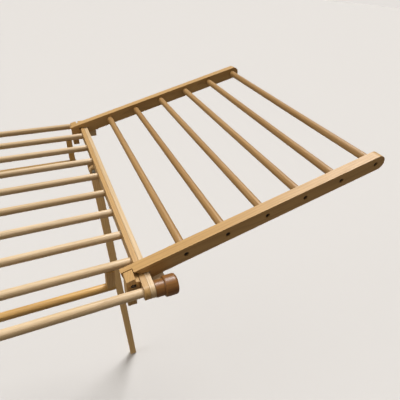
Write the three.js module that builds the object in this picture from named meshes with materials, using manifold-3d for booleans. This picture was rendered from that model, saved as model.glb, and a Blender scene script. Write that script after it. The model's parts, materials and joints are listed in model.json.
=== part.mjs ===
// Wall mounted fold-down drying rack with a raised wing, millimetres, +Z up.
// The wall is the plane X = 0, X runs out from the wall, Y runs along the wall.
import * as THREE from 'three';
import { mergeVertices } from 'three/addons/utils/BufferGeometryUtils.js';
import Module from 'manifold-3d';

const wasm = await Module();
wasm.setup();

// ---- driving dimensions -------------------------------------------------
const glueGap = 0.3;        // between faces that touch or are glued
const runGap = 0.7;         // between faces that move past each other
const dowelD = 12.7;
const mainPitch = 60;
const mainCount = 10;
const edgeY = ((mainCount - 1) / 2) * mainPitch; // the outermost dowels
const stickX = 776;         // wall to the start of the outer corner layout

// wall board and its fittings
const board = { thick: 18, halfWide: edgeY + 55, halfHigh: 45, screwY: edgeY - 20, screwZ: 27, screwD: 5, headD: 10 };
const hingeX = 95;          // panel hinge axis, out from the wall
const bracket = { thick: 16, halfHigh: 24, reach: 16, pinD: 8 };
const innerRail = { back: 10, front: 12, top: 14, bottom: 22, bore: 14 };
const restStrip = { halfWide: 200, top: -15.5, bottom: -34 };

// end rail: two strips side by side, rounded round the outermost dowels
const endRail = { x0: stickX + 82, strip: 7.35, halfHigh: 10.5, bore: 6 };
const endRailX1 = endRail.x0 + 2 * endRail.strip + glueGap;

// hinge blocks and wing pivot: each block laps the outer part of its wing rail's end
const pivot = { x: stickX + 72, z: 3.5, pinD: 6, skin: 2.5 };
const cheek = { x0: stickX + 63, lap: 8, outside: 11.4, bottom: -33.5, top: 16.9, foot: 12.5, shoulder: -14 };

// wing frame
const wing = { tilt: 15, outerY: edgeY - 22.6, railT: 16, half: 12.4, knuckle: 9.3, heel: 9 };
const rung = { first: 82, pitch: 65.5, count: 6, bore: 9 };
const wingTip = 427;
const screw = { headD: 7, headL: 2.2, sink: 4.2, shankD: 3.6, shankL: 16 };

// turn buttons on the ends of the outermost dowels
const knob = { neckD: 23, neckL: 12.5, bodyD: 29, bodyL: 18.5, bore: 20, round: 4 };
const tongue = { x0: 3.2, x1: 19.5, thick: 13.5, tipY: edgeY - 34 };

// low hanging rods under the panel
const lowRod = { y: edgeY - 73.6, z: -55.5, d: dowelD, outerX: stickX + 58, innerX: 122 };
const hanger = { thick: 12, half: 7, seat: 2.2 };

// drop leg
const leg = { y: 98, x: stickX + 83.3, z: -26, wide: 18, thick: 12, floor: -745, splay: 3.65, boltD: 6 };
const legBlock = { thick: 16, halfWide: 9.5, bottom: -38 };

// ---- materials ----------------------------------------------------------
const honeyWood = new THREE.MeshStandardMaterial({ color: 0xe0c894, roughness: 0.55 });
const darkWood = new THREE.MeshStandardMaterial({ color: 0xb98b52, roughness: 0.6 });
const steel = new THREE.MeshStandardMaterial({ color: 0x9a9a98, roughness: 0.35, metalness: 0.9 });

// ---- helpers --------------------------------------------------------------
const rack = new THREE.Group();
rack.name = 'drying_rack';

function addPiece(name, geometry, material) {
  const mesh = new THREE.Mesh(geometry, material);
  mesh.name = name;
  rack.add(mesh);
}

function solid(geometry) {
  const bare = geometry.clone();
  bare.deleteAttribute('normal');
  bare.deleteAttribute('uv');
  const joined = mergeVertices(bare, 1e-4);
  const data = new wasm.Mesh({
    numProp: 3,
    vertProperties: new Float32Array(joined.attributes.position.array),
    triVerts: new Uint32Array(joined.index.array),
  });
  return new wasm.Manifold(data);
}

function geometryOf(body) {
  const data = body.getMesh();
  const geometry = new THREE.BufferGeometry();
  geometry.setAttribute('position', new THREE.BufferAttribute(new Float32Array(data.vertProperties), 3));
  geometry.setIndex(new THREE.BufferAttribute(new Uint32Array(data.triVerts), 1));
  const flat = geometry.toNonIndexed();
  flat.computeVertexNormals();
  return flat;
}

function boxGeo(x0, x1, y0, y1, z0, z1) {
  const geometry = new THREE.BoxGeometry(x1 - x0, y1 - y0, z1 - z0);
  return geometry.translate((x0 + x1) / 2, (y0 + y1) / 2, (z0 + z1) / 2);
}

function rodX(x0, x1, y, z, d, sides = 16) {
  const geometry = new THREE.CylinderGeometry(d / 2, d / 2, x1 - x0, sides);
  return geometry.rotateZ(-Math.PI / 2).translate((x0 + x1) / 2, y, z);
}

function rodY(y0, y1, x, z, d, sides = 16) {
  const geometry = new THREE.CylinderGeometry(d / 2, d / 2, y1 - y0, sides);
  return geometry.translate(x, (y0 + y1) / 2, z);
}

// a shape drawn in X and Z, given thickness from y0 to y1
function plateY(shape, y0, y1, curveSegments = 12) {
  const geometry = new THREE.ExtrudeGeometry(shape, { depth: y1 - y0, bevelEnabled: false, curveSegments });
  return geometry.rotateX(Math.PI / 2).translate(0, y1, 0);
}

// a shape drawn in Y and Z, given thickness from x0 to x1
function plateX(shape, x0, x1, curveSegments = 12) {
  const geometry = new THREE.ExtrudeGeometry(shape, { depth: x1 - x0, bevelEnabled: false, curveSegments });
  return geometry.rotateX(Math.PI / 2).rotateZ(Math.PI / 2).translate(x0, 0, 0);
}

// a round stepped body along Y from its profile of [radius, length] pairs
function latheY(profile, x, y, z, turn, sides = 16) {
  const points = profile.map(([r, l]) => new THREE.Vector2(r, l));
  const geometry = new THREE.LatheGeometry(points, sides);
  if (turn < 0) geometry.rotateX(Math.PI);
  return geometry.translate(x, y, z);
}

function cut(geometry, cutters) {
  let body = solid(geometry);
  for (const cutter of cutters) body = body.subtract(solid(cutter));
  return body;
}

const sides = [['near', -1], ['far', 1]];
const between = (sign, a, b) => (sign < 0 ? [-b, -a] : [a, b]);

// ---- wall board -------------------------------------------------------------
const mainY = Array.from({ length: mainCount }, (_, i) => (i - (mainCount - 1) / 2) * mainPitch);
const railEndY = edgeY + 28;
const screwSpots = [];
for (const y of [-board.screwY, board.screwY]) {
  for (const z of [-board.screwZ, board.screwZ]) screwSpots.push([y, z]);
}
const boardCutters = [];
for (const [y, z] of screwSpots) {
  boardCutters.push(rodX(-1, board.thick + 1, y, z, board.screwD + 2 * glueGap, 12));
  boardCutters.push(rodX(board.thick - 4, board.thick + 1, y, z, board.headD + 2 * glueGap, 12));
}
const boardBlank = boxGeo(0, board.thick, -board.halfWide, board.halfWide, -board.halfHigh, board.halfHigh);
addPiece('wall_board', geometryOf(cut(boardBlank, boardCutters)), honeyWood);

screwSpots.forEach(([y, z], i) => {
  const shank = solid(rodX(0.5, board.thick - 3, y, z, board.screwD, 12));
  const head = solid(rodX(board.thick - 3.7, board.thick - 0.5, y, z, board.headD, 12));
  addPiece(`wall_screw_${i + 1}`, geometryOf(shank.add(head)), steel);
});

for (const [side, sign] of sides) {
  const [y0, y1] = between(sign, railEndY + runGap, railEndY + runGap + bracket.thick);
  const shape = new THREE.Shape();
  const x0 = board.thick + glueGap;
  shape.moveTo(x0, bracket.halfHigh + 12);
  shape.lineTo(x0, -bracket.halfHigh - 12);
  shape.lineTo(hingeX, -bracket.reach);
  shape.absarc(hingeX, 0, bracket.reach, -Math.PI / 2, Math.PI / 2, false);
  shape.closePath();
  const pinY0 = Math.min(Math.abs(y0), Math.abs(y1)) - 18;
  const pinY1 = Math.max(Math.abs(y0), Math.abs(y1)) - 1;
  const [p0, p1] = between(sign, pinY0, pinY1);
  const body = cut(plateY(shape, y0, y1), [rodY(y0 - 1, y1 + 1, hingeX, 0, bracket.pinD + 2 * glueGap, 16)]);
  addPiece(`wall_bracket_${side}`, geometryOf(body), honeyWood);
  addPiece(`panel_hinge_pin_${side}`, rodY(p0, p1, hingeX, 0, bracket.pinD, 16), steel);
}
addPiece('rest_strip', boxGeo(
  board.thick + glueGap,
  hingeX - innerRail.back - glueGap,
  -restStrip.halfWide,
  restStrip.halfWide,
  restStrip.bottom,
  restStrip.top,
), honeyWood);

// ---- folding panel ------------------------------------------------------------
const railX0 = hingeX - innerRail.back;
const railX1 = hingeX + innerRail.front;
const dowelX0 = railX1 - innerRail.bore + glueGap;
const railCutters = mainY.map((y) => rodX(railX1 - innerRail.bore, railX1 + 1, y, 0, dowelD + 2 * glueGap));
for (const [, sign] of sides) {
  const [y0, y1] = between(sign, railEndY - 18, railEndY + 1);
  railCutters.push(rodY(y0, y1, hingeX, 0, bracket.pinD + 2 * glueGap, 16));
}
// pin bores stop short of the outermost dowels
const railBlank = boxGeo(railX0, railX1, -railEndY, railEndY, -innerRail.bottom, innerRail.top);
addPiece('inner_rail', geometryOf(cut(railBlank, railCutters)), honeyWood);

function stripShape() {
  const h = endRail.halfHigh;
  const shape = new THREE.Shape();
  shape.moveTo(-edgeY, -h);
  shape.lineTo(edgeY, -h);
  shape.absarc(edgeY, 0, h, -Math.PI / 2, Math.PI / 2, false);
  shape.lineTo(-edgeY, h);
  shape.absarc(-edgeY, 0, h, Math.PI / 2, Math.PI * 1.5, false);
  return shape;
}
const stripX1 = endRail.x0 + endRail.strip;
const innerStripCutters = mainY.map((y, i) => {
  const through = i === 0 || i === mainCount - 1;
  const deep = through ? stripX1 + 1 : endRail.x0 + endRail.bore;
  return rodX(endRail.x0 - 1, deep, y, 0, dowelD + 2 * glueGap);
});
const innerStrip = plateX(stripShape(), endRail.x0, stripX1);
addPiece('end_rail_inner', geometryOf(cut(innerStrip, innerStripCutters)), honeyWood);
const outerStrip = plateX(stripShape(), stripX1 + glueGap, endRailX1);
const outerStripCutters = [-edgeY, edgeY].map((y) => rodX(stripX1, endRailX1 + 1, y, 0, dowelD + 2 * glueGap));
addPiece('end_rail_outer', geometryOf(cut(outerStrip, outerStripCutters)), honeyWood);

mainY.forEach((y, i) => {
  const outermost = i === 0 || i === mainCount - 1;
  const x1 = outermost ? endRailX1 + glueGap + knob.bore - 1 : endRail.x0 + endRail.bore - glueGap;
  const label = String(i + 1).padStart(2, '0');
  addPiece(`panel_dowel_${label}`, rodX(dowelX0, x1, y, 0, dowelD), honeyWood);
});

// ---- hinge blocks and wing pins -------------------------------------------------
const tilt = THREE.MathUtils.degToRad(wing.tilt);
const cosT = Math.cos(tilt);
const sinT = Math.sin(tilt);
// a point given along and across the wing, as X and Z
const onWing = (s, n) => [pivot.x + s * cosT - n * sinT, pivot.z + s * sinT + n * cosT];

const railInner = wing.outerY - wing.railT;
const lapY = wing.outerY - cheek.lap;
const blockOuter = wing.outerY + cheek.outside;
const bevel = cheek.x0 + cheek.foot;

for (const [side, sign] of sides) {
  const [y0, y1] = between(sign, lapY + runGap, blockOuter);
  const x1 = endRail.x0 - glueGap;
  const shape = new THREE.Shape();
  shape.moveTo(cheek.x0, cheek.bottom);
  shape.lineTo(bevel, cheek.bottom);
  shape.lineTo(bevel, cheek.shoulder);
  shape.lineTo(x1, cheek.shoulder + 4);
  shape.lineTo(x1, cheek.top - 7);
  shape.lineTo(bevel, cheek.top);
  shape.lineTo(cheek.x0, cheek.top - cheek.foot * Math.tan(tilt));
  shape.closePath();
  const bore = rodY(y0 - 1, y1 + 1, pivot.x, pivot.z, pivot.pinD + 2 * glueGap, 16);
  addPiece(`hinge_block_${side}`, geometryOf(cut(plateY(shape, y0, y1), [bore])), darkWood);
  const [p0, p1] = between(sign, railInner + pivot.skin, blockOuter);
  addPiece(`wing_hinge_pin_${side}`, rodY(p0, p1, pivot.x, pivot.z, pivot.pinD, 16), steel);
}

// ---- wing ---------------------------------------------------------------------------
function wingRailShape() {
  const notchTop = endRail.halfHigh + 0.6 - pivot.z;
  const notchX0 = Math.sqrt(wing.knuckle ** 2 - notchTop ** 2);
  const notchX1 = endRailX1 + 1.5;
  const tipCentre = wingTip - wing.half;
  const shape = new THREE.Shape();
  shape.moveTo(...onWing(-wing.heel, wing.half));
  shape.lineTo(...onWing(-wing.heel, 0));
  const startAngle = Math.PI + tilt;
  const endAngle = Math.PI * 2 + Math.atan2(notchTop, notchX0);
  const steps = 16;
  for (let i = 0; i <= steps; i += 1) {
    const a = startAngle + ((endAngle - startAngle) * i) / steps;
    shape.lineTo(pivot.x + wing.knuckle * Math.cos(a), pivot.z + wing.knuckle * Math.sin(a));
  }
  shape.lineTo(notchX1, pivot.z + notchTop);
  const below = (notchX1 - pivot.x + -wing.half * sinT) / cosT;
  shape.lineTo(...onWing(below + 0.5, -wing.half));
  shape.lineTo(...onWing(tipCentre, -wing.half));
  for (let i = 1; i < 14; i += 1) {
    const a = -Math.PI / 2 + (Math.PI * i) / 14;
    shape.lineTo(...onWing(tipCentre + wing.half * Math.cos(a), wing.half * Math.sin(a)));
  }
  shape.lineTo(...onWing(tipCentre, wing.half));
  shape.closePath();
  return shape;
}

// the lap's hollow shoulder swings round the hinge block's top corner
const lapReach = Math.hypot(bevel - pivot.x, cheek.top - pivot.z) + runGap;

function lapCornerShape() {
  const shape = new THREE.Shape();
  shape.moveTo(...onWing(-2 * wing.heel, -2 * wing.half));
  shape.lineTo(...onWing(0, -2 * wing.half));
  shape.lineTo(...onWing(0, 2 * wing.half));
  shape.lineTo(...onWing(-2 * wing.heel, 2 * wing.half));
  shape.closePath();
  return shape;
}

const rungSpots = Array.from({ length: rung.count }, (_, i) => onWing(rung.first + i * rung.pitch, 0));
const rungEnd = railInner + rung.bore - glueGap;
const sinkFloor = wing.outerY - screw.sink;

for (const [side, sign] of sides) {
  const [y0, y1] = between(sign, railInner, wing.outerY);
  const cutters = [];
  for (const [x, z] of rungSpots) {
    const [b0, b1] = between(sign, railInner - 1, railInner + rung.bore);
    cutters.push(rodY(b0, b1, x, z, dowelD + 2 * glueGap));
    const [c0, c1] = between(sign, sinkFloor, wing.outerY + 1);
    cutters.push(rodY(c0, c1, x, z, screw.headD + 2 * glueGap, 12));
    const [h0, h1] = between(sign, railInner, wing.outerY);
    cutters.push(rodY(h0, h1, x, z, screw.shankD + 2 * glueGap, 10));
  }
  const [l0, l1] = between(sign, lapY, wing.outerY + 1);
  cutters.push(rodY(l0, l1, pivot.x, pivot.z, 2 * lapReach, 64));
  cutters.push(plateY(lapCornerShape(), l0, l1));
  const [k0, k1] = between(sign, railInner + pivot.skin - glueGap, wing.outerY + 1);
  cutters.push(rodY(k0, k1, pivot.x, pivot.z, pivot.pinD + 2 * glueGap, 16));
  addPiece(`wing_rail_${side}`, geometryOf(cut(plateY(wingRailShape(), y0, y1), cutters)), honeyWood);

  rungSpots.forEach(([x, z], i) => {
    const headIn = sinkFloor + glueGap;
    const profile = [
      [0, 0],
      [screw.shankD / 2, 0],
      [screw.shankD / 2, screw.shankL],
      [screw.headD / 2, screw.shankL],
      [screw.headD / 2, screw.shankL + screw.headL],
      [0, screw.shankL + screw.headL],
    ];
    const geometry = latheY(profile, x, sign * (headIn - screw.shankL), z, sign, 10);
    addPiece(`wing_screw_${side}_${i + 1}`, geometry, steel);
  });
}

rungSpots.forEach(([x, z], i) => {
  const pilot = screw.shankL - (sinkFloor - rungEnd) + 1.5;
  const cutters = [
    rodY(rungEnd - pilot, rungEnd + 1, x, z, screw.shankD + 2 * glueGap, 10),
    rodY(-rungEnd - 1, -rungEnd + pilot, x, z, screw.shankD + 2 * glueGap, 10),
  ];
  addPiece(`wing_dowel_${i + 1}`, geometryOf(cut(rodY(-rungEnd, rungEnd, x, z, dowelD), cutters)), honeyWood);
});

// ---- turn buttons ----------------------------------------------------------------------
for (const [side, sign] of sides) {
  const x0 = endRailX1 + glueGap;
  const bodyX1 = x0 + knob.neckL + knob.bodyL;
  const profile = [
    [0, 0],
    [knob.neckD / 2, 0],
    [knob.neckD / 2, knob.neckL],
    [knob.bodyD / 2 - 1.5, knob.neckL],
    [knob.bodyD / 2, knob.neckL + 1.5],
    [knob.bodyD / 2, knob.neckL + knob.bodyL - knob.round],
    [knob.bodyD / 2 - knob.round, knob.neckL + knob.bodyL],
    [0, knob.neckL + knob.bodyL],
  ];
  const points = profile.map(([r, l]) => new THREE.Vector2(r, l));
  const turned = new THREE.LatheGeometry(points, 24);
  turned.rotateZ(-Math.PI / 2).translate(x0, sign * edgeY, 0);
  // the tongue lies under the wing rail, its top sloped like the rail
  const tx0 = x0 + tongue.x0;
  const tx1 = x0 + tongue.x1;
  const under = (x) => pivot.z + (x - pivot.x) * Math.tan(tilt) - wing.half / cosT - glueGap;
  const shape = new THREE.Shape();
  shape.moveTo(tx0, under(tx0) - tongue.thick);
  shape.lineTo(tx1, under(tx0) - tongue.thick);
  shape.lineTo(tx1, under(tx1));
  shape.lineTo(tx0, under(tx0));
  shape.closePath();
  const [y0, y1] = between(sign, tongue.tipY, edgeY - 7.5);
  const bore = rodX(x0 - 1, x0 + knob.bore, sign * edgeY, 0, dowelD + 2 * glueGap);
  const body = solid(turned).add(solid(plateY(shape, y0, y1))).subtract(solid(bore));
  addPiece(`turn_button_${side}`, geometryOf(body), darkWood);
  if (bodyX1 < x0) throw new Error('turn button is shorter than its neck');
}

// ---- low rods and their hangers ------------------------------------------------------------
for (const [side, sign] of sides) {
  const y = sign * lowRod.y;
  const dowelY = sign * mainY[mainCount - 2];
  addPiece(`low_rod_${side}`, rodX(lowRod.innerX, lowRod.outerX, y, lowRod.z, lowRod.d, 16), darkWood);
  const spots = [['inner', lowRod.innerX + 1.5], ['outer', lowRod.outerX - 1.5 - hanger.thick]];
  for (const [where, x0] of spots) {
    const top = -dowelD / 2 + hanger.seat;
    const foot = lowRod.z + lowRod.d / 2 - hanger.seat;
    const shape = new THREE.Shape();
    shape.moveTo(dowelY - hanger.half, top);
    shape.lineTo(y - hanger.half, foot);
    shape.lineTo(y + hanger.half, foot);
    shape.lineTo(dowelY + hanger.half, top);
    shape.closePath();
    const blank = plateX(shape, x0, x0 + hanger.thick);
    const cutters = [
      rodX(x0 - 1, x0 + hanger.thick + 1, y, lowRod.z, lowRod.d + 2 * glueGap, 16),
      rodX(x0 - 1, x0 + hanger.thick + 1, dowelY, 0, dowelD + 2 * glueGap),
    ];
    addPiece(`rod_hanger_${side}_${where}`, geometryOf(cut(blank, cutters)), darkWood);
  }
}

// ---- drop leg ------------------------------------------------------------------------------------
const splay = THREE.MathUtils.degToRad(leg.splay);
const legY0 = leg.y - leg.thick / 2;
const legY1 = leg.y + leg.thick / 2;
const blockY0 = legY1 + glueGap;
const blockY1 = blockY0 + legBlock.thick;
const down = (l, w) => [leg.x + l * Math.sin(splay) + w * Math.cos(splay), leg.z - l * Math.cos(splay) + w * Math.sin(splay)];
const legShape = new THREE.Shape();
const half = leg.wide / 2;
const footAt = (w) => leg.x + (leg.z - leg.floor) * Math.tan(splay) + w / Math.cos(splay);
legShape.moveTo(footAt(-half), leg.floor);
legShape.lineTo(footAt(half), leg.floor);
legShape.lineTo(...down(0, half));
for (let i = 1; i < 14; i += 1) {
  const a = (Math.PI * i) / 14;
  legShape.lineTo(...down(-half * Math.sin(a), half * Math.cos(a)));
}
legShape.lineTo(...down(0, -half));
legShape.closePath();
const boltBore = rodY(legY0 - 1, blockY1 + 1, leg.x, leg.z, leg.boltD + 2 * glueGap, 16);
addPiece('drop_leg', geometryOf(cut(plateY(legShape, legY0, legY1), [boltBore])), darkWood);
const blockBlank = boxGeo(
  leg.x - legBlock.halfWide,
  leg.x + legBlock.halfWide,
  blockY0,
  blockY1,
  legBlock.bottom,
  -endRail.halfHigh - glueGap,
);
addPiece('leg_block', geometryOf(cut(blockBlank, [boltBore])), darkWood);
const boltProfile = [
  [0, 0],
  [5.5, 0],
  [5.5, 3],
  [leg.boltD / 2, 3],
  [leg.boltD / 2, 3 + glueGap + leg.thick + legBlock.thick],
  [0, 3 + glueGap + leg.thick + legBlock.thick],
];
addPiece('leg_bolt', latheY(boltProfile, leg.x, legY0 - 3 - glueGap, leg.z, 1), steel);

export default rack;
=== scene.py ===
# Wall mounted fold-down drying rack: looks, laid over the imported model
import json
import math

import bpy
from mathutils import Matrix, Vector


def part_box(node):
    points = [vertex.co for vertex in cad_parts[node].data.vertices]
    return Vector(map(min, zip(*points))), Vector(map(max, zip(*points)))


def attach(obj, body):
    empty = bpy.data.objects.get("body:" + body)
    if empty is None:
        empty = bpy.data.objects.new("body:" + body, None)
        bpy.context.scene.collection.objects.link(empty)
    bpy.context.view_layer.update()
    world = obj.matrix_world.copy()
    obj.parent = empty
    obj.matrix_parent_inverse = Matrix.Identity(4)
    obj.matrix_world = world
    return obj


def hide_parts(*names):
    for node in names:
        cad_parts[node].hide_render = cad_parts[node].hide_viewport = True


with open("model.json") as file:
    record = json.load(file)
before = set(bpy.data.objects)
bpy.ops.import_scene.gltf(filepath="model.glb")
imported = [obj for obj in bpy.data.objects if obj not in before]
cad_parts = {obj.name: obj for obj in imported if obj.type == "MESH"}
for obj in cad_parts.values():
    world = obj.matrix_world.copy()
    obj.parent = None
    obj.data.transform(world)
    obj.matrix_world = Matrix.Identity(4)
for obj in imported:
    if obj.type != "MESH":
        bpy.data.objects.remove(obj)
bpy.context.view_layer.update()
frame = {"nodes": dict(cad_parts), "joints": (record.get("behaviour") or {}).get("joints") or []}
jointAt = {joint["name"]: Vector(joint["pos_m"]) for joint in frame["joints"]}
sides = ("near", "far")
tiny = 1e-6  # closer than this counts as the same place
facing = 0.9  # a face points along an axis if its normal has more than this of it
fullRound = 0.999  # share of a half height that a full round takes
planedSmooth = 35  # degrees that shading runs across on planed wood, and on turned work
turnedSmooth = 40
wingTilt = math.radians(15)
print("frame loaded", len(frame["nodes"]), "nodes")


# Tools for the bench
def clearSelection():
    if bpy.context.object and bpy.context.object.mode != "OBJECT":
        bpy.ops.object.mode_set(mode="OBJECT")
    bpy.ops.object.select_all(action="DESELECT")


def useOnly(piece):
    clearSelection()
    piece.select_set(True)
    bpy.context.view_layer.objects.active = piece


def settle(piece):  # leaves the object at the origin, unturned, with its place in its mesh
    useOnly(piece)
    bpy.ops.object.transform_apply(location=True, rotation=True, scale=True)
    return piece


def addBlock(name, low, high):
    clearSelection()
    low, high = Vector(low), Vector(high)
    bpy.ops.mesh.primitive_cube_add(size=1, location=(low + high) / 2, scale=high - low)
    block = bpy.context.object
    block.name = name
    return settle(block)


rodTurns = {"x": (0, math.pi / 2, 0), "y": (math.pi / 2, 0, 0), "z": (0, 0, 0)}


def addRod(name, centre, length, radius, along, facets):
    clearSelection()
    bpy.ops.mesh.primitive_cylinder_add(
        vertices=facets, radius=radius, depth=length, location=centre, rotation=rodTurns[along]
    )
    rod = bpy.context.object
    rod.name = name
    return settle(rod)


def startPicking(piece, kind):
    useOnly(piece)
    bpy.ops.object.mode_set(mode="EDIT")
    bpy.ops.mesh.select_mode(type=kind)
    bpy.ops.mesh.select_all(action="DESELECT")
    bpy.ops.object.mode_set(mode="OBJECT")


def pickEdges(piece, test):  # ends in edit mode with the edges that pass the test selected
    startPicking(piece, "EDGE")
    points = piece.data.vertices
    for edge in piece.data.edges:
        a, b = (points[i].co for i in edge.vertices)
        edge.select = bool(test(a, b))
    bpy.ops.object.mode_set(mode="EDIT")


def pickFaces(piece, test):  # the same for faces, by their centre and normal
    startPicking(piece, "FACE")
    for face in piece.data.polygons:
        face.select = bool(test(face.center, face.normal))
    bpy.ops.object.mode_set(mode="EDIT")


def runsAlong(axis, a, b):
    return abs(getattr(a, axis) - getattr(b, axis)) > tiny


def nudge(move):  # moves what is picked and leaves edit mode
    bpy.ops.transform.translate(value=move)
    bpy.ops.object.mode_set(mode="OBJECT")


def squeezeHeight(share, centre):  # the same for scaling it in Z
    bpy.ops.transform.resize(value=(1, 1, share), center_override=centre)
    bpy.ops.object.mode_set(mode="OBJECT")


def turnAboutY(piece, angle, centre):
    useOnly(piece)
    bpy.ops.object.mode_set(mode="EDIT")
    bpy.ops.mesh.select_all(action="SELECT")
    bpy.ops.transform.rotate(
        value=angle, orient_axis="Y", orient_type="GLOBAL", center_override=centre
    )
    bpy.ops.object.mode_set(mode="OBJECT")


def roundEdges(piece, test, offset, segments):
    pickEdges(piece, test)
    bpy.ops.mesh.bevel(offset=offset, offset_type="OFFSET", segments=segments, affect="EDGES")
    bpy.ops.object.mode_set(mode="OBJECT")
    return piece


def sliceAt(piece, point, normal, cutAway=False):  # a cut line all round, or a sawn end
    useOnly(piece)
    bpy.ops.object.mode_set(mode="EDIT")
    bpy.ops.mesh.select_all(action="SELECT")
    bpy.ops.mesh.bisect(plane_co=point, plane_no=normal, use_fill=cutAway, clear_inner=cutAway)
    bpy.ops.object.mode_set(mode="OBJECT")
    return piece


def carve(piece, cutter, operation="DIFFERENCE"):
    useOnly(piece)
    cutting = piece.modifiers.new("carve", "BOOLEAN")
    cutting.object = cutter
    cutting.operation = operation
    cutting.solver = "EXACT"
    bpy.ops.object.modifier_apply(modifier=cutting.name)
    bpy.data.objects.remove(cutter, do_unlink=True)
    return piece


def drill(piece, centre, length, radius, along, facets=40):
    return carve(piece, addRod("drillBit", centre, length, radius, along, facets))


def smoothBy(angle):
    bpy.ops.object.shade_smooth_by_angle(angle=math.radians(angle))


def soften(piece, facts):  # eases each edge that turns by more than easeAbove, in degrees
    useOnly(piece)
    edging = piece.modifiers.new("soften", "BEVEL")
    edging.width = facts["edgeEase"]
    edging.segments = facts["easeSteps"]
    edging.limit_method = "ANGLE"
    edging.angle_limit = math.radians(facts["easeAbove"])
    bpy.ops.object.modifier_apply(modifier=edging.name)
    smoothBy(planedSmooth)
    evening = piece.modifiers.new("evenShading", "WEIGHTED_NORMAL")  # keeps broad faces flat
    evening.keep_sharp = True
    bpy.ops.object.modifier_apply(modifier=evening.name)
    return piece


def finishPiece(piece, node, body, material):
    piece.data.materials.clear()
    piece.data.materials.append(material)
    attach(piece, body)
    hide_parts(node)
    return piece


def copyTo(piece, name, shift):
    twin = piece.copy()
    twin.data = piece.data.copy()
    twin.name = name
    bpy.context.scene.collection.objects.link(twin)
    twin.data.transform(Matrix.Translation(Vector(shift)))
    return twin


def centreOf(node):
    low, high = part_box(node)
    return (low + high) / 2


# Finishes
woodTones = {
    "honey": {
        "pale": (0.50, 0.315, 0.130), "honey": (0.41, 0.238, 0.078), "line": (0.21, 0.102, 0.028)
    },
    # a lighter copy of the honey wood: painted light, standing in for the bright top light on the
    # panel dowels, the outer end strip and the tongue
    "pale": {
        "pale": (0.62, 0.470, 0.295), "honey": (0.50, 0.350, 0.185), "line": (0.26, 0.148, 0.056)
    },
    # a dark brown copy of the honey wood: painted shade, standing in for the shade on the knob's
    # faces towards the camera
    "shadedBrown": {
        "pale": (0.25, 0.112, 0.030), "honey": (0.175, 0.070, 0.016), "line": (0.08, 0.030, 0.007)
    },
    # a darker copy of the honey wood: painted shade, standing in for the light falling off along
    # the wing dowels
    "shadedGold": {
        "pale": (0.38, 0.225, 0.086), "honey": (0.285, 0.153, 0.046), "line": (0.15, 0.068, 0.018)
    },
    # a much paler copy of the honey wood: painted light, brightening the drop leg alone
    "leg": {
        "pale": (0.90, 0.640, 0.325), "honey": (0.78, 0.510, 0.220), "line": (0.44, 0.230, 0.075)
    },
    # a more orange copy of the honey wood: painted shade, standing in for the shaded orange look
    # of the low rods and their hangers
    "shadedAmber": {
        "pale": (0.58, 0.36, 0.125), "honey": (0.50, 0.285, 0.082), "line": (0.26, 0.125, 0.032)
    },
}
woodMake = {
    "coat": 0.15,
    "coatRoughness": 0.32,
    "ior": 1.42,
    "offset": (0.31, 0.17, 0.23),
    "clouds": {  # noise drawn out along the grain: scale, detail, roughness
        "board": ((1.6, 17, 17), 1.0, 0.55),  # tone from piece to piece
        "figure": ((7, 60, 60), 3.0, 0.55),  # slow figure along a piece
        "fibre": ((38, 900, 900), 4.0, 0.65),
        "pores": ((90, 1900, 1900), 2.0, 0.5),
        "wander": ((3.2, 22, 22), 2.0, 0.55),  # bends the rings
    },
    "ringGap": 0.0042,
    "ringGapAtScaleOne": 0.314,
    "ringStretch": (0.25, 1, 1),
    "ringWander": 0.022,
    "ringDistortion": 0.6,
    "ringDetail": 2.0,
    "ringDetailScale": 1.5,
    "toneSteps": (  # what drives the step, its tone, where it starts and ends, how strong it is
        ("board", "honey", 0.34, 0.66, 0.75),
        ("figure", "honey", 0.42, 0.70, 0.55),
        ("rings", "line", 0.55, 1.0, 0.34),
        ("fibre", "line", 0.50, 0.78, 0.42),
        ("pores", "line", 0.66, 0.80, 0.50),
    ),
    "sheenRange": (0.3, 0.75),
    "smoother": 0.07,
    "rougher": 0.1,
    "fibreRelief": (0.3, 0.8, -0.6),
    "ringRelief": (0.4, 1.0, -0.5),
    "bumpStrength": 0.32,
    "bumpDepth": 0.00025,
}


def newNode(tree, kind, place, **values):
    node = tree.nodes.new(kind)
    node.location = place
    for key, value in values.items():
        setattr(node, key, value)
    return node


def setInputs(node, values):
    for key, value in values.items():
        node.inputs[key].default_value = value


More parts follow.
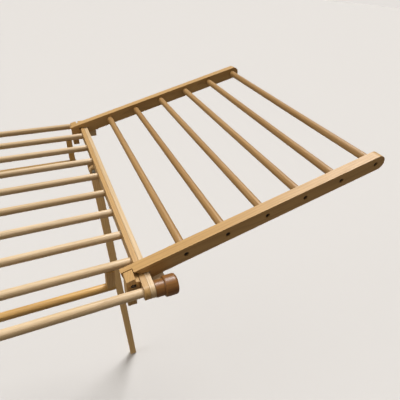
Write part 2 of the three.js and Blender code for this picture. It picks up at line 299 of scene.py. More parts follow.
def makeWood(name, tones, along, tilt=0.0, roughness=0.46):
    # grain runs along the local X of the turned coordinates
    wood = bpy.data.materials.new(name)
    wood.use_nodes = True
    tree = wood.node_tree
    tree.nodes.clear()
    link = tree.links.new
    output = newNode(tree, "ShaderNodeOutputMaterial", (1100, 0))
    shader = newNode(tree, "ShaderNodeBsdfPrincipled", (820, 0))
    coat = {"Coat Weight": woodMake["coat"], "Coat Roughness": woodMake["coatRoughness"]}
    setInputs(shader, {**coat, "IOR": woodMake["ior"]})
    coords = newNode(tree, "ShaderNodeTexCoord", (-1500, 0))
    turned = newNode(tree, "ShaderNodeMapping", (-1300, 0))
    grainTurns = {
        "x": (0, tilt, 0),
        "y": (0, 0, math.radians(-90)),
        "z": (0, math.radians(90) + tilt, 0),
    }
    setInputs(turned, {"Rotation": grainTurns[along], "Location": woodMake["offset"]})
    link(coords.outputs["Object"], turned.inputs["Vector"])

    def stretched(scale, place):
        mapping = newNode(tree, "ShaderNodeMapping", place)
        mapping.inputs["Scale"].default_value = scale
        link(turned.outputs["Vector"], mapping.inputs["Vector"])
        return mapping.outputs["Vector"]

    def ramped(source, low, high, top, place, bottom=0.0):
        level = newNode(tree, "ShaderNodeMapRange", place)
        setInputs(level, {"From Min": low, "From Max": high, "To Min": bottom, "To Max": top})
        link(source, level.inputs["Value"])
        return level.outputs["Result"]

    def blend(fromColor, toColor, factor, place):
        mix = newNode(tree, "ShaderNodeMix", place, data_type="RGBA")
        for socket, value in ((mix.inputs[6], fromColor), (mix.inputs[7], toColor)):
            if isinstance(value, tuple):
                socket.default_value = (*value, 1)
            else:
                link(value, socket)
        link(factor, mix.inputs[0])
        return mix.outputs[2]

    clouds = {}
    for row, (kind, (scale, detail, rough)) in enumerate(woodMake["clouds"].items()):
        level = 420 - 240 * row
        clouds[kind] = newNode(tree, "ShaderNodeTexNoise", (-800, level))
        setInputs(clouds[kind], {"Scale": 1.0, "Detail": detail, "Roughness": rough})
        link(stretched(scale, (-1000, level)), clouds[kind].inputs["Vector"])

    bent = newNode(tree, "ShaderNodeVectorMath", (-600, -640), operation="SCALE")
    link(clouds["wander"].outputs["Color"], bent.inputs[0])
    bent.inputs["Scale"].default_value = woodMake["ringWander"]
    ringPlace = newNode(tree, "ShaderNodeVectorMath", (-430, -640), operation="ADD")
    link(stretched(woodMake["ringStretch"], (-620, -820)), ringPlace.inputs[0])
    link(bent.outputs[0], ringPlace.inputs[1])
    rings = newNode(
        tree, "ShaderNodeTexWave", (-260, -640),
        wave_type="RINGS", rings_direction="X", wave_profile="SAW",
    )
    setInputs(rings, {
        "Scale": woodMake["ringGapAtScaleOne"] / woodMake["ringGap"],
        "Distortion": woodMake["ringDistortion"],
        "Detail": woodMake["ringDetail"],
        "Detail Scale": woodMake["ringDetailScale"],
    })
    link(ringPlace.outputs[0], rings.inputs["Vector"])

    sources = {kind: cloud.outputs["Fac"] for kind, cloud in clouds.items()}
    sources["rings"] = rings.outputs["Fac"]
    tone = tones["pale"]
    for step, (kind, toward, low, high, strength) in enumerate(woodMake["toneSteps"]):
        x = 200 * step - 300
        factor = ramped(sources[kind], low, high, strength, (x - 200, 420))
        tone = blend(tone, tones[toward], factor, (x, 420))
    link(tone, shader.inputs["Base Color"])

    rough, smooth = roughness + woodMake["rougher"], roughness - woodMake["smoother"]
    sheen = ramped(sources["fibre"], *woodMake["sheenRange"], rough, (280, -120), smooth)
    link(sheen, shader.inputs["Roughness"])
    relief = newNode(tree, "ShaderNodeMath", (280, -320), operation="ADD")
    link(ramped(sources["fibre"], *woodMake["fibreRelief"], (60, -300)), relief.inputs[0])
    link(ramped(sources["rings"], *woodMake["ringRelief"], (60, -420)), relief.inputs[1])
    bump = newNode(tree, "ShaderNodeBump", (560, -320))
    setInputs(bump, {"Strength": woodMake["bumpStrength"], "Distance": woodMake["bumpDepth"]})
    link(relief.outputs[0], bump.inputs["Height"])
    link(bump.outputs["Normal"], shader.inputs["Normal"])
    link(shader.outputs["BSDF"], output.inputs["Surface"])
    return wood


steelMake = {
    "mottle": {"Scale": 420, "Detail": 5},
    "scratches": {"Scale": 2600, "Detail": 2},
    "darkShare": 0.62,
    "smoother": 0.08,
    "rougher": 0.16,
    "bumpStrength": 0.15,
    "bumpDepth": 0.0001,
}


def makeSteel(name, tint, roughness):
    steel = bpy.data.materials.new(name)
    steel.use_nodes = True
    tree = steel.node_tree
    link = tree.links.new
    shader = tree.nodes["Principled BSDF"]
    shader.inputs["Metallic"].default_value = 1.0
    coords = newNode(tree, "ShaderNodeTexCoord", (-1100, 0))
    mottle = newNode(tree, "ShaderNodeTexNoise", (-850, 120))
    scratches = newNode(tree, "ShaderNodeTexNoise", (-850, -160))
    for noise, facts in ((mottle, steelMake["mottle"]), (scratches, steelMake["scratches"])):
        setInputs(noise, facts)
        link(coords.outputs["Object"], noise.inputs["Vector"])
    mix = newNode(tree, "ShaderNodeMix", (-560, 160), data_type="RGBA")
    mix.inputs[6].default_value = (*tint, 1)
    mix.inputs[7].default_value = (*[share * steelMake["darkShare"] for share in tint], 1)
    link(mottle.outputs["Fac"], mix.inputs[0])
    link(mix.outputs[2], shader.inputs["Base Color"])
    rub = newNode(tree, "ShaderNodeMapRange", (-560, -80))
    smooth, rough = roughness - steelMake["smoother"], roughness + steelMake["rougher"]
    setInputs(rub, {"To Min": smooth, "To Max": rough})
    link(mottle.outputs["Fac"], rub.inputs["Value"])
    link(rub.outputs["Result"], shader.inputs["Roughness"])
    bump = newNode(tree, "ShaderNodeBump", (-300, -260))
    setInputs(bump, {"Strength": steelMake["bumpStrength"], "Distance": steelMake["bumpDepth"]})
    link(scratches.outputs["Fac"], bump.inputs["Height"])
    link(bump.outputs["Normal"], shader.inputs["Normal"])
    return steel


honeyLong = makeWood("honeyWoodAlongX", woodTones["honey"], "x")
# paler copy of the honey wood along X: painted light
litPaleLong = makeWood("litPaleWoodAlongX", woodTones["pale"], "x")
# dark brown copy of the honey wood: painted shade
shadedBrownLong = makeWood("shadedBrownWoodAlongX", woodTones["shadedBrown"], "x", roughness=0.36)
honeyCross = makeWood("honeyWoodAlongY", woodTones["honey"], "y")
honeyWing = makeWood("honeyWoodWingRail", woodTones["honey"], "x", tilt=wingTilt)
honeyUpright = makeWood("honeyWoodUpright", woodTones["honey"], "z")
# orange copy of the honey wood along X: painted shade
shadedAmberLong = makeWood("shadedAmberWoodAlongX", woodTones["shadedAmber"], "x", roughness=0.4)
# orange copy of the honey wood upright: painted shade
shadedAmberUpright = makeWood("shadedAmberWoodUpright", woodTones["shadedAmber"], "z", roughness=0.42)
# much paler copy of the honey wood for the leg: painted light
litLegUpright = makeWood("litLegWoodUpright", woodTones["leg"], "z", roughness=0.42)
# paler copy of the honey wood along Y: painted light
litPaleCross = makeWood("litPaleWoodAlongY", woodTones["pale"], "y")
# darker copy of the honey wood along Y: painted shade
shadedGoldCross = makeWood("shadedGoldWoodAlongY", woodTones["shadedGold"], "y")
zincSteel = makeSteel("zincSteel", tint=(0.62, 0.61, 0.58), roughness=0.34)
darkSteel = makeSteel("darkScrewSteel", tint=(0.13, 0.11, 0.09), roughness=0.45)
print("finishes made")

# Camera, light, floor and distance
roomMiddle = (1, 0)
viewing = {
    "place": (0.78275, -0.56777, 0.37417),
    "right": (0.9121, -0.4058, 0.0582),
    "down": (-0.1965, -0.5573, -0.8067),
    "lens": 31.8393,
    "sensor": 36,
    "nearest": 0.01,
}
lights = {
    "keyLight": {"from": (0.55, 0.60, 1.40), "spread": 26, "strength": 3.55},
    "topLight": {"from": (-0.5, 0.2, 1.6), "spread": 50, "strength": 0.75},
    "sideLight": {"from": (-1.0, 0.10, 0.40), "spread": 30, "strength": 1.05},
}
floorMake = {
    "level": -0.7455,
    "size": 24,
    "tone": (0.515, 0.502, 0.490),
    "roughness": 0.9,
    "specular": 0.1,
}
backdropMake = {"radius": 11.5, "segments": 48, "rings": 24, "haze": (0.79, 0.753, 0.716)}
airMake = {"lighting": 0.25, "tone": (1.0, 0.86, 0.68)}


def makeCamera():
    cameraData = bpy.data.cameras.new("viewCamera")
    cameraData.sensor_width = viewing["sensor"]
    cameraData.lens = viewing["lens"]
    cameraData.clip_start = viewing["nearest"]
    camera = bpy.data.objects.new("viewCamera", cameraData)
    bpy.context.scene.collection.objects.link(camera)
    right = Vector(viewing["right"]).normalized()
    down = Vector(viewing["down"])
    down = (down - right * down.dot(right)).normalized()
    forward = right.cross(down)
    turn = Matrix((right, -down, -forward)).transposed()
    camera.matrix_world = Matrix.Translation(viewing["place"]) @ turn.to_4x4()
    bpy.context.scene.camera = camera


def makeSkyLight(name, facts):
    lightData = bpy.data.lights.new(name, "SUN")
    lightData.energy = facts["strength"]
    lightData.angle = math.radians(facts["spread"])
    light = bpy.data.objects.new(name, lightData)
    bpy.context.scene.collection.objects.link(light)
    light.rotation_euler = (-Vector(facts["from"])).to_track_quat("-Z", "Y").to_euler()


def makeFloor():
    clearSelection()
    place = (*roomMiddle, floorMake["level"])
    bpy.ops.mesh.primitive_plane_add(size=floorMake["size"], location=place)
    floor = bpy.context.object
    floor.name = "studioFloor"
    paper = bpy.data.materials.new("palePaper")
    paper.use_nodes = True
    setInputs(paper.node_tree.nodes["Principled BSDF"], {
        "Base Color": (*floorMake["tone"], 1),
        "Roughness": floorMake["roughness"],
        "Specular IOR Level": floorMake["specular"],
    })
    floor.data.materials.append(paper)
    floor.visible_diffuse = False
    floor.visible_glossy = False


def makeBackdrop():  # even pale distance all round, which neither lights nor shades the rack
    clearSelection()
    bpy.ops.mesh.primitive_uv_sphere_add(
        segments=backdropMake["segments"],
        ring_count=backdropMake["rings"],
        radius=backdropMake["radius"],
        location=(*roomMiddle, 0),
    )
    dome = bpy.context.object
    dome.name = "studioBackdrop"
    for kind in ("diffuse", "glossy", "transmission", "shadow"):
        setattr(dome, f"visible_{kind}", False)
    haze = bpy.data.materials.new("paleHaze")
    haze.use_nodes = True
    tree = haze.node_tree
    tree.nodes.clear()
    output = newNode(tree, "ShaderNodeOutputMaterial", (300, 0))
    glow = newNode(tree, "ShaderNodeEmission", (0, 0))
    glow.inputs["Color"].default_value = (*backdropMake["haze"], 1)
    tree.links.new(glow.outputs["Emission"], output.inputs["Surface"])
    dome.data.materials.append(haze)


def makeAir():
    world = bpy.data.worlds.new("studioAir")
    bpy.context.scene.world = world
    world.use_nodes = True
    setInputs(world.node_tree.nodes["Background"], {
        "Color": (*airMake["tone"], 1),
        "Strength": airMake["lighting"],
    })


makeCamera()
for name, facts in lights.items():
    makeSkyLight(name, facts)
makeFloor()
makeBackdrop()
makeAir()
bpy.context.scene.view_settings.view_transform = "Standard"
print("camera and light set")

# Dowels and low rods
dowelMake = {
    "radius": 0.00635,
    "boreGap": 0.0002,
    "facets": 40,
    "stations": 18,  # rings of points that carry the slight waviness of turned wood
    "endEase": 0.0007,
    "endSteps": 2,
    "bow": 0.00035,
    "thinning": 0.006,
    "ripple": 21,
    "rippleShift": 3,
    "phase": (37, 91, 53),  # sets one rod's bow and ripple apart from the next one's
    "panelCount": 10,
    "wingCount": 6,
}
boreRadius = dowelMake["radius"] + dowelMake["boreGap"]


def makeDowel(name, node, along, body, material):
    low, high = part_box(node)
    middle = (low + high) / 2
    axis = "xyz".index(along)
    start, end = low[axis], high[axis]
    length = end - start
    rod = addRod(name, middle, length, dowelMake["radius"], along, dowelMake["facets"])
    normal = [0, 0, 0]
    normal[axis] = 1
    for i in range(1, dowelMake["stations"]):
        point = middle.copy()
        point[axis] = start + length * i / dowelMake["stations"]
        sliceAt(rod, point, normal)

    def onEndRim(a, b):
        atEnd = min(abs(a[axis] - start), abs(a[axis] - end)) < tiny
        return atEnd and not runsAlong(along, a, b)

    roundEdges(rod, onEndRim, dowelMake["endEase"], dowelMake["endSteps"])
    seed = sum(place * weight for place, weight in zip(middle, dowelMake["phase"]))
    for point in rod.data.vertices:
        t = (point.co[axis] - start) / length
        wave = math.sin(t * math.pi) * math.sin(seed) * dowelMake["bow"]
        shift = seed * dowelMake["rippleShift"]
        ripple = (1 + math.sin(t * dowelMake["ripple"] + shift)) / 2
        swell = 1 - dowelMake["thinning"] * ripple
        for other in range(3):
            if other != axis:
                point.co[other] = middle[other] + (point.co[other] - middle[other]) * swell
        point.co.z -= abs(wave)
    useOnly(rod)
    smoothBy(turnedSmooth)
    return finishPiece(rod, node, body, material)


for i in range(1, dowelMake["panelCount"] + 1):
    # the panel dowels get the paler wood: painted light on their lit tops
    makeDowel(f"longDowel{i:02d}", f"panel_dowel_{i:02d}", "x", "panel", litPaleLong)
for i in range(1, dowelMake["wingCount"] + 1):
    # the wing dowels get the darker wood: painted shade
    makeDowel(f"wingDowel{i}", f"wing_dowel_{i}", "y", "wing", shadedGoldCross)
for side in sides:
    # the low rods get the orange wood: painted shade
    makeDowel(f"lowRod_{side}", f"low_rod_{side}", "x", "panel", shadedAmberLong)
dowelRows = [
    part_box(f"panel_dowel_{i:02d}")[0].y + dowelMake["radius"]
    for i in range(1, dowelMake["panelCount"] + 1)
]
print("dowels made")

# End rail: two strips side by side
endRailMake = {
    "roundSteps": 16,
    "boreDeep": 0.006,
    "breakout": 0.002,
    "edgeEase": 0.0008,
    "easeSteps": 3,
    "easeAbove": 50,
}


def makeEndStrip(name, node, bores, material):
    low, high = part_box(node)
    half = (high.z - low.z) / 2
    strip = addBlock(name, low, high)
    roundEdges(
        strip, lambda a, b: runsAlong("x", a, b), half * fullRound, endRailMake["roundSteps"]
    )
    for y, x0, x1 in bores:
        drill(strip, ((x0 + x1) / 2, y, 0), x1 - x0, boreRadius, "x")
    soften(strip, endRailMake)
    return finishPiece(strip, node, "panel", material)


def throughBores(node):  # only the outermost dowels pass right through
    low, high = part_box(node)
    over = endRailMake["breakout"]
    return [(y, low.x - over, high.x + over) for y in (dowelRows[0], dowelRows[-1])]


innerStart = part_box("end_rail_inner")[0].x
blindBores = [
    (y, innerStart - endRailMake["breakout"], innerStart + endRailMake["boreDeep"])
    for y in dowelRows[1:-1]
]
innerBores = blindBores + throughBores("end_rail_inner")
makeEndStrip("endStripInner", "end_rail_inner", innerBores, honeyCross)
# the outer strip gets the paler wood: painted light, one strip lighter than the one beside it
makeEndStrip("endStripOuter", "end_rail_outer", throughBores("end_rail_outer"), litPaleCross)
print("end rail made")

# Inner rail, wall board and what holds the panel to the wall
innerRailMake = {
    "boreCentre": 0.006,
    "boreLength": 0.016,
    "pinBoreLength": 0.036,
    "pinBoreRadius": 0.0043,
    "edgeEase": 0.0015,
    "easeSteps": 3,
    "easeAbove": 50,
}


def makeInnerRail():
    low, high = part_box("inner_rail")
    facts = innerRailMake
    rail = addBlock("innerRail", low, high)
    for y in dowelRows:
        drill(rail, (high.x - facts["boreCentre"], y, 0), facts["boreLength"], boreRadius, "x")
    pinAt = jointAt["panel_fold"]
    for end in (low.y, high.y):
        place = (pinAt.x, end, pinAt.z)
        drill(rail, place, facts["pinBoreLength"], facts["pinBoreRadius"], "y")
    soften(rail, facts)
    return finishPiece(rail, "inner_rail", "panel", honeyCross)


wallBoardMake = {
    "cornerRound": 0.008,
    "cornerSteps": 6,
    "frontRound": 0.0035,
    "frontSteps": 3,
    "boreShare": 1.4,  # length of a screw's bore for each unit of the board's thickness
    "boreRadius": 0.0028,
    "sinkDeep": 0.004,
    "sinkRadius": 0.0053,
    "screwCount": 4,
    "edgeEase": 0.0006,
    "easeSteps": 2,
    "easeAbove": 50,
}


def makeWallBoard():
    low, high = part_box("wall_board")
    facts = wallBoardMake

    def atCorner(a, b):
        return runsAlong("x", a, b)

    def onFront(a, b):
        return min(a.x, b.x) > high.x - tiny

    board = addBlock("wallBoard", low, high)
    roundEdges(board, atCorner, facts["cornerRound"], facts["cornerSteps"])
    roundEdges(board, onFront, facts["frontRound"], facts["frontSteps"])
    for i in range(1, facts["screwCount"] + 1):
        middle = centreOf(f"wall_screw_{i}")
        place = (high.x / 2, middle.y, middle.z)
        drill(board, place, high.x * facts["boreShare"], facts["boreRadius"], "x")
        mouth = (high.x, middle.y, middle.z)
        drill(board, mouth, facts["sinkDeep"] * 2, facts["sinkRadius"], "x")
    soften(board, facts)
    return finishPiece(board, "wall_board", "wall", honeyCross)


restStripMake = {
    "noseRound": 0.007,
    "noseSteps": 6,
    "edgeEase": 0.0012,
    "easeSteps": 3,
    "easeAbove": 50,
}


def makeRestStrip():
    low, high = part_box("rest_strip")

    def onLowerFront(a, b):
        return max(a.z, b.z) < low.z + tiny and min(a.x, b.x) > high.x - tiny

    strip = addBlock("restStrip", low, high)
    roundEdges(strip, onLowerFront, restStripMake["noseRound"], restStripMake["noseSteps"])
    soften(strip, restStripMake)
    return finishPiece(strip, "rest_strip", "wall", honeyCross)


bracketMake = {
    "noseFacets": 72,
    "boreLength": 0.04,
    "boreRadius": 0.0043,
    "edgeEase": 0.0013,
    "easeSteps": 3,
    "easeAbove": 40,
}


def makeBracket(side):
    node = f"wall_bracket_{side}"
    low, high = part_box(node)
    pinAt = jointAt["panel_fold"]
    noseRadius = high.x - pinAt.x
    noseAt = (pinAt.x, (low.y + high.y) / 2, 0)
    bracket = addBlock(f"wallBracket_{side}", low, (pinAt.x, high.y, high.z))
    pickFaces(bracket, lambda centre, normal: normal.x > facing)
    squeezeHeight(noseRadius / high.z, noseAt)
    nose = addRod("nose", noseAt, high.y - low.y, noseRadius, "y", bracketMake["noseFacets"])
    carve(bracket, nose, "UNION")
    drill(bracket, noseAt, bracketMake["boreLength"], bracketMake["boreRadius"], "y")
    soften(bracket, bracketMake)
    return finishPiece(bracket, node, "wall", honeyLong)


pinMake = {"facets": 40, "endRound": 0.0006, "endSteps": 2}


def makePin(name, node, body, material):
    low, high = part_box(node)
    radius = (high.x - low.x) / 2
    pin = addRod(name, (low + high) / 2, high.y - low.y, radius, "y", pinMake["facets"])
    endRound, endSteps = pinMake["endRound"], pinMake["endSteps"]
    roundEdges(pin, lambda a, b: not runsAlong("y", a, b), endRound, endSteps)
    smoothBy(turnedSmooth)
    return finishPiece(pin, node, body, material)


makeInnerRail()
makeWallBoard()
makeRestStrip()
for side in sides:
    makeBracket(side)
    makePin(f"panelPin_{side}", f"panel_hinge_pin_{side}", "wall", zincSteel)
    makePin(f"wingPin_{side}", f"wing_hinge_pin_{side}", "panel", darkSteel)
print("wall end made")

# Screws
screwMake = {
    "crossWidth": 0.0011,
    "crossDeep": 0.0011,
    "crossShare": 0.58,  # reach of the cross for each unit of the head's radius
    "crossClear": 0.002,
    "headFacets": 36,
    "headRound": 0.3,
    "headSteps": 3,
    "shankFacets": 24,
    "shankFrom": 0.5,  # how far up the head the shank is let in
    "tipRound": 0.6,
    "tipSteps": 2,
}
wallScrewMake = {"headRadius": 0.005, "headLength": 0.0032, "shankRadius": 0.0025}
wingScrewMake = {"headRadius": 0.0035, "headLength": 0.0022, "shankRadius": 0.0018}


def makeScrew(name, tail, top, facts):
    # built along Z with its head up, then turned to face the way it is driven
    tail, top = Vector(tail), Vector(top)
    length = (top - tail).length
    headRadius, headLength = facts["headRadius"], facts["headLength"]
    shankRadius = facts["shankRadius"]
    screw = addRod(
        name, (0, 0, -headLength / 2), headLength, headRadius, "z", screwMake["headFacets"]
    )
    headRound = headLength * screwMake["headRound"]
    roundEdges(screw, lambda a, b: min(a.z, b.z) > -tiny, headRound, screwMake["headSteps"])
    reach = headRadius * screwMake["crossShare"]
    wide = screwMake["crossWidth"] / 2
    for crossTurn in (0, 90):
        bar = addBlock(
            "crossBar",
            (-reach, -wide, -screwMake["crossDeep"]),
            (reach, wide, screwMake["crossClear"]),
        )
        bar.rotation_euler.z = math.radians(crossTurn)
        carve(screw, settle(bar))
    shankTop = headLength * screwMake["shankFrom"]
    shank = addRod(
        "shank", (0, 0, -(length + shankTop) / 2), length - shankTop,
        shankRadius, "z", screwMake["shankFacets"],
    )

    def atTip(a, b):
        return max(a.z, b.z) < -length + tiny

    roundEdges(shank, atTip, shankRadius * screwMake["tipRound"], screwMake["tipSteps"])
    carve(screw, shank, "UNION")
    screw.rotation_mode = "QUATERNION"
    screw.rotation_quaternion = (top - tail).normalized().to_track_quat("Z", "Y")
    screw.location = top
    settle(screw)
    smoothBy(planedSmooth)
    return screw


def copyScrews(first, nameStart, nodeStart, count):  # the first screw and its copies
    start = centreOf(f"{nodeStart}1")
    screws = [first]
    for i in range(2, count + 1):
        screws.append(copyTo(first, f"{nameStart}{i}", centreOf(f"{nodeStart}{i}") - start))
    return screws


def makeWallScrews():
    low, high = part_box("wall_screw_1")
    middle = centreOf("wall_screw_1")
    tail, top = (low.x, middle.y, middle.z), (high.x, middle.y, middle.z)
    first = makeScrew("wallScrew1", tail, top, wallScrewMake)
    screws = copyScrews(first, "wallScrew", "wall_screw_", wallBoardMake["screwCount"])
    for i, screw in enumerate(screws, 1):
        finishPiece(screw, f"wall_screw_{i}", "wall", zincSteel)


def makeWingScrews(side):
    low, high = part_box(f"wing_screw_{side}_1")
    middle = centreOf(f"wing_screw_{side}_1")
    tailY, topY = (high.y, low.y) if side == "near" else (low.y, high.y)
    tail, top = (middle.x, tailY, middle.z), (middle.x, topY, middle.z)
    first = makeScrew(f"wingScrew_{side}_1", tail, top, wingScrewMake)
    count = dowelMake["wingCount"]
    screws = copyScrews(first, f"wingScrew_{side}_", f"wing_screw_{side}_", count)
    for i, screw in enumerate(screws, 1):
        finishPiece(screw, f"wing_screw_{side}_{i}", "wing", darkSteel)


makeWallScrews()
for side in sides:
    makeWingScrews(side)
print("screws made")

# Wing rails and the hinge blocks that they lap
hingeBlockMake = {
    "foot": 0.0125,
    "shoulderLow": -0.011,
    "shoulderHigh": 0.011,
    "shoulderTaper": 0.86,
    "boreLength": 0.03,
    "boreRadius": 0.0033,
    "edgeEase": 0.0009,
    "easeSteps": 3,
    "easeAbove": 25,
}
wingRailMake = {
    "half": 0.0124,
    "heel": 0.009,
    "tip": 0.427,
    "tipSteps": 14,
    "firstDowel": 0.082,
    "dowelPitch": 0.0655,
    "boreDeep": 0.009,
    "sinkDeep": 0.0042,
    "sinkRadius": 0.0038,
    "pilotRadius": 0.0020,
    "pilotFacets": 20,
    "pinBoreLength": 0.0292,
    "pinBoreRadius": 0.0033,
    "knuckle": 0.0093,  # radius left standing round the hinge pin
    "knuckleLength": 0.06,
    "knuckleFacets": 64,
    "notchTop": 0.0111,
    "notchEnd": 0.0015,
    "notchBack": 0.02,
    "notchBottom": -0.05,
    "notchOverlap": 0.001,
    "notchOver": 0.002,
    "lapDeep": 0.008,
    "lapGap": 0.0007,
    "lapOver": 0.003,
    "lapFacets": 96,
    "heelCut": 0.03,
    "edgeEase": 0.0009,
    "easeSteps": 3,
    "easeAbove": 40,
}


def makeWingRail(side):
    node = f"wing_rail_{side}"
    low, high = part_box(node)
    facts = wingRailMake
    pivotAt = jointAt["wing_fold"]
    half = facts["half"]
    tipX = pivotAt.x + facts["tip"]
    middleY = (low.y + high.y) / 2
    outer, inner = (low.y, high.y) if side == "near" else (high.y, low.y)
    inward = 1 if side == "near" else -1

    def atTip(a, b):
        return runsAlong("y", a, b) and min(a.x, b.x) > tipX - tiny

    rail = addBlock(
        f"wingRail_{side}",
        (pivotAt.x - facts["heel"], low.y, pivotAt.z - half),
        (tipX, high.y, pivotAt.z + half),
    )
    roundEdges(rail, atTip, half * fullRound, facts["tipSteps"])
    for i in range(dowelMake["wingCount"]):
        x = pivotAt.x + facts["firstDowel"] + i * facts["dowelPitch"]
        drill(rail, (x, inner, pivotAt.z), 2 * facts["boreDeep"], boreRadius, "y")
        drill(rail, (x, outer, pivotAt.z), 2 * facts["sinkDeep"], facts["sinkRadius"], "y")
        drill(
            rail, (x, (outer + inner) / 2, pivotAt.z), abs(outer - inner),
            facts["pilotRadius"], "y", facts["pilotFacets"],
        )
    pinPlace = (pivotAt.x, outer, pivotAt.z)
    drill(rail, pinPlace, facts["pinBoreLength"], facts["pinBoreRadius"], "y")
    turnAboutY(rail, wingTilt, pivotAt)

    # room for the end rail, with the knuckle left round the pin
    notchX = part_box("end_rail_outer")[1].x + facts["notchEnd"]
    y0, y1 = low.y - facts["notchOver"], high.y + facts["notchOver"]
    lower = addBlock(
        "lowerNotch",
        (pivotAt.x - facts["notchBack"], y0, facts["notchBottom"]),
        (notchX, y1, pivotAt.z),
    )
    upper = addBlock(
        "upperNotch",
        (pivotAt.x, y0, pivotAt.z - facts["notchOverlap"]),
        (notchX, y1, facts["notchTop"]),
    )
    for cutter in (lower, upper):
        knuckle = addRod(
            "knuckle", (pivotAt.x, middleY, pivotAt.z), facts["knuckleLength"],
            facts["knuckle"], "y", facts["knuckleFacets"],
        )
        carve(cutter, knuckle)
        carve(rail, cutter)

    # the outer half of the thickness makes way for the hinge block as the wing turns
    lapFace = outer + inward * facts["lapDeep"]
    lapY = sorted((lapFace, outer - inward * facts["lapOver"]))
    blockLow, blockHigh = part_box(f"hinge_block_{side}")
    footX = blockLow.x + hingeBlockMake["foot"]
    reach = math.hypot(footX - pivotAt.x, blockHigh.z - pivotAt.z) + facts["lapGap"]
    hollow = addRod(
        "lapHollow", (pivotAt.x, sum(lapY) / 2, pivotAt.z), lapY[1] - lapY[0],
        reach, "y", facts["lapFacets"],
    )
    heelCut = addBlock(
        "lapHeel",
        (pivotAt.x - facts["heelCut"], lapY[0], pivotAt.z - facts["heelCut"]),
        (pivotAt.x, lapY[1], pivotAt.z + facts["heelCut"]),
    )
    turnAboutY(heelCut, wingTilt, pivotAt)
    carve(rail, hollow)
    carve(rail, heelCut)
    soften(rail, facts)
    return finishPiece(rail, node, "wing", honeyWing)


def makeHingeBlock(side):
    node = f"hinge_block_{side}"
    low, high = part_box(node)
    facts = hingeBlockMake
    shoulders = (facts["shoulderLow"], facts["shoulderHigh"])
    footX = low.x + facts["foot"]
    middleY = (low.y + high.y) / 2

    def onUpperBack(a, b):
        return min(a.z, b.z) > high.z - tiny and max(a.x, b.x) < low.x + tiny

    def onShoulder(centre, normal):
        return normal.x > facing and shoulders[0] < centre.z < shoulders[1]

    block = addBlock(f"hingeBlock_{side}", low, (footX, high.y, high.z))
    pickEdges(block, onUpperBack)
    nudge((0, 0, -facts["foot"] * math.tan(wingTilt)))  # its top slopes with the wing
    for level in shoulders:
        sliceAt(block, (footX, low.y, level), (0, 0, 1))
    pickFaces(block, onShoulder)
    bpy.ops.mesh.extrude_region_move(TRANSFORM_OT_translate={"value": (high.x - footX, 0, 0)})
    squeezeHeight(facts["shoulderTaper"], (high.x, middleY, 0))
    pinAt = jointAt["wing_fold"]
    place = (pinAt.x, middleY, pinAt.z)
    drill(block, place, facts["boreLength"], facts["boreRadius"], "y")
    soften(block, facts)
    return finishPiece(block, node, "panel", honeyUpright)


for side in sides:
    makeWingRail(side)
print("wing rails made")
for side in sides:
    makeHingeBlock(side)

# Turn buttons: a turned neck and knob on the dowel's end, with a tongue to one side
turnButtonMake = {
    "facets": 64,
    "neckRadius": 0.0115,
    "neckLength": 0.0125,
    "overlap": 0.0002,
    "bodyRadius": 0.0145,
    "roundEnd": 0.0042,
    "endSteps": 6,
    "roundNeck": 0.0015,
    "neckSteps": 3,
    "tongueFrom": 0.0032,
    "tongueTo": 0.0195,
    "tongueThick": 0.0135,
    "tongueTop": -0.0019,
    "tongueRise": 0.00437,
    "tongueRoot": 0.0075,
    "bore": 0.020,
    "breakout": 0.002,
    "edgeEase": 0.0008,
    "easeSteps": 3,
    "easeAbove": 45,
}


def makeTurnButton(side):
    node = f"turn_button_{side}"
    low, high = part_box(node)
    facts = turnButtonMake
    rowY, tipY = (dowelRows[0], high.y) if side == "near" else (dowelRows[-1], low.y)
    inward = 1 if side == "near" else -1
    neckEnd = low.x + facts["neckLength"]
    button = addRod(
        f"turnButton_{side}", ((low.x + neckEnd) / 2, rowY, 0),
        facts["neckLength"] + facts["overlap"], facts["neckRadius"], "x", facts["facets"],
    )
    knob = addRod(
        "knobBody", ((neckEnd + high.x) / 2, rowY, 0),
        high.x - neckEnd, facts["bodyRadius"], "x", facts["facets"],
    )

    def onFarRim(a, b):
        return min(a.x, b.x) > high.x - tiny

    def onNeckRim(a, b):
        return max(a.x, b.x) < neckEnd + tiny

    roundEdges(knob, onFarRim, facts["roundEnd"], facts["endSteps"])
    roundEdges(knob, onNeckRim, facts["roundNeck"], facts["neckSteps"])
    carve(button, knob, "UNION")

    y0, y1 = sorted((tipY, rowY + inward * facts["tongueRoot"]))
    x0, x1 = low.x + facts["tongueFrom"], low.x + facts["tongueTo"]
    tongueTop = facts["tongueTop"]

    def onUpperFront(a, b):
        return min(a.z, b.z) > tongueTop - tiny and min(a.x, b.x) > x1 - tiny

    tongue = addBlock("tongue", (x0, y0, tongueTop - facts["tongueThick"]), (x1, y1, tongueTop))
    pickEdges(tongue, onUpperFront)
    nudge((0, 0, facts["tongueRise"]))
    carve(button, tongue, "UNION")
    boreAt = (low.x + facts["bore"] / 2 - facts["breakout"] / 2, rowY, 0)
    drill(button, boreAt, facts["bore"] + facts["breakout"], boreRadius, "x")
    soften(button, facts)

    def onTongue(centre, normal):
        return abs(centre.y - tipY) < abs(rowY - tipY) - facts["bodyRadius"]

    # the knob's dark brown wood is painted shade
    finishPiece(button, node, f"button_{side}", shadedBrownLong)
    button.data.materials.append(litPaleLong)  # the tongue takes the paler wood: painted light, lifting it out of the rail's shadow
    pickFaces(button, onTongue)
    button.active_material_index = 1
    bpy.ops.object.material_slot_assign()
    bpy.ops.object.mode_set(mode="OBJECT")
    return button


for side in sides:
    makeTurnButton(side)
print("hinge blocks and turn buttons made")

# Hangers for the low rods
hangerMake = {
    "half": 0.007,
    "seatGap": 0.0002,
    "seatLength": 0.03,
    "edgeEase": 0.0008,
    "easeSteps": 2,
    "easeAbove": 45,
}


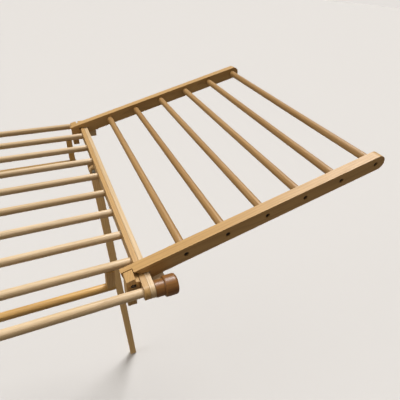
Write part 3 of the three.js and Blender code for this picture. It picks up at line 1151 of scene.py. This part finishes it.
def makeHanger(side, where):
    node = f"rod_hanger_{side}_{where}"
    low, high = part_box(node)
    middleX = (low.x + high.x) / 2
    dowelY = dowelRows[1] if side == "near" else dowelRows[-2]
    rodMiddle = centreOf(f"low_rod_{side}")
    half = hangerMake["half"]
    hanger = addBlock(
        f"rodHanger_{side}_{where}",
        (low.x, dowelY - half, low.z),
        (high.x, dowelY + half, high.z),
    )
    pickFaces(hanger, lambda centre, normal: normal.z < -facing)
    nudge((0, rodMiddle.y - dowelY, 0))  # leans out to its rod
    seat = dowelMake["radius"] + hangerMake["seatGap"]
    for y, z in ((dowelY, 0), (rodMiddle.y, rodMiddle.z)):
        drill(hanger, (middleX, y, z), hangerMake["seatLength"], seat, "x")
    soften(hanger, hangerMake)
    # the hangers get the orange wood: painted shade
    return finishPiece(hanger, node, "panel", shadedAmberUpright)


for side in sides:
    for where in ("inner", "outer"):
        makeHanger(side, where)
print("hangers made")

# Drop leg
legMake = {
    "splay": math.radians(3.65),
    "half": 0.009,
    "topSteps": 14,
    "stations": 12,
    "overhang": 0.02,  # spare length below, sawn off level with the floor
    "boreLength": 0.03,
    "boreRadius": 0.0033,
    "edgeEase": 0.0009,
    "easeSteps": 3,
    "easeAbove": 45,
}
legBlockMake = {
    "bottomRound": 0.0062,
    "bottomSteps": 8,
    "boreLength": 0.04,
    "edgeEase": 0.001,
    "easeSteps": 3,
    "easeAbove": 45,
}
legBoltMake = {"headRadius": 0.0055, "headLength": 0.003, "shankRadius": 0.003}


def makeLeg():
    low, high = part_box("drop_leg")
    pivotAt = jointAt["leg_fold"]
    half = legMake["half"]
    top = pivotAt.z + half

    def atTop(a, b):
        return runsAlong("y", a, b) and min(a.z, b.z) > top - tiny

    stick = addBlock(
        "dropLeg",
        (pivotAt.x - half, low.y, low.z - legMake["overhang"]),
        (pivotAt.x + half, high.y, top),
    )
    roundEdges(stick, atTop, half * fullRound, legMake["topSteps"])
    for i in range(1, legMake["stations"]):
        level = low.z + (top - low.z) * i / legMake["stations"]
        sliceAt(stick, (pivotAt.x, low.y, level), (0, 0, 1))
    turnAboutY(stick, legMake["splay"], pivotAt)
    sliceAt(stick, (0, 0, low.z), (0, 0, 1), cutAway=True)
    place = (pivotAt.x, (low.y + high.y) / 2, pivotAt.z)
    drill(stick, place, legMake["boreLength"], legMake["boreRadius"], "y")
    soften(stick, legMake)
    # the leg gets the much paler wood: painted light
    return finishPiece(stick, "drop_leg", "leg", litLegUpright)


def makeLegBlock():
    low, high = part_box("leg_block")
    pivotAt = jointAt["leg_fold"]

    def onBottomSides(a, b):
        return runsAlong("y", a, b) and max(a.z, b.z) < low.z + tiny

    block = addBlock("legBlock", low, high)
    roundEdges(block, onBottomSides, legBlockMake["bottomRound"], legBlockMake["bottomSteps"])
    place = (pivotAt.x, (low.y + high.y) / 2, pivotAt.z)
    drill(block, place, legBlockMake["boreLength"], legMake["boreRadius"], "y")
    soften(block, legBlockMake)
    return finishPiece(block, "leg_block", "panel", honeyUpright)


def makeLegBolt():
    low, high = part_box("leg_bolt")
    middle = centreOf("leg_bolt")
    tail, top = (middle.x, high.y, middle.z), (middle.x, low.y, middle.z)
    bolt = makeScrew("legBolt", tail, top, legBoltMake)
    return finishPiece(bolt, "leg_bolt", "panel", zincSteel)


makeLeg()
makeLegBlock()
makeLegBolt()
print("leg made")
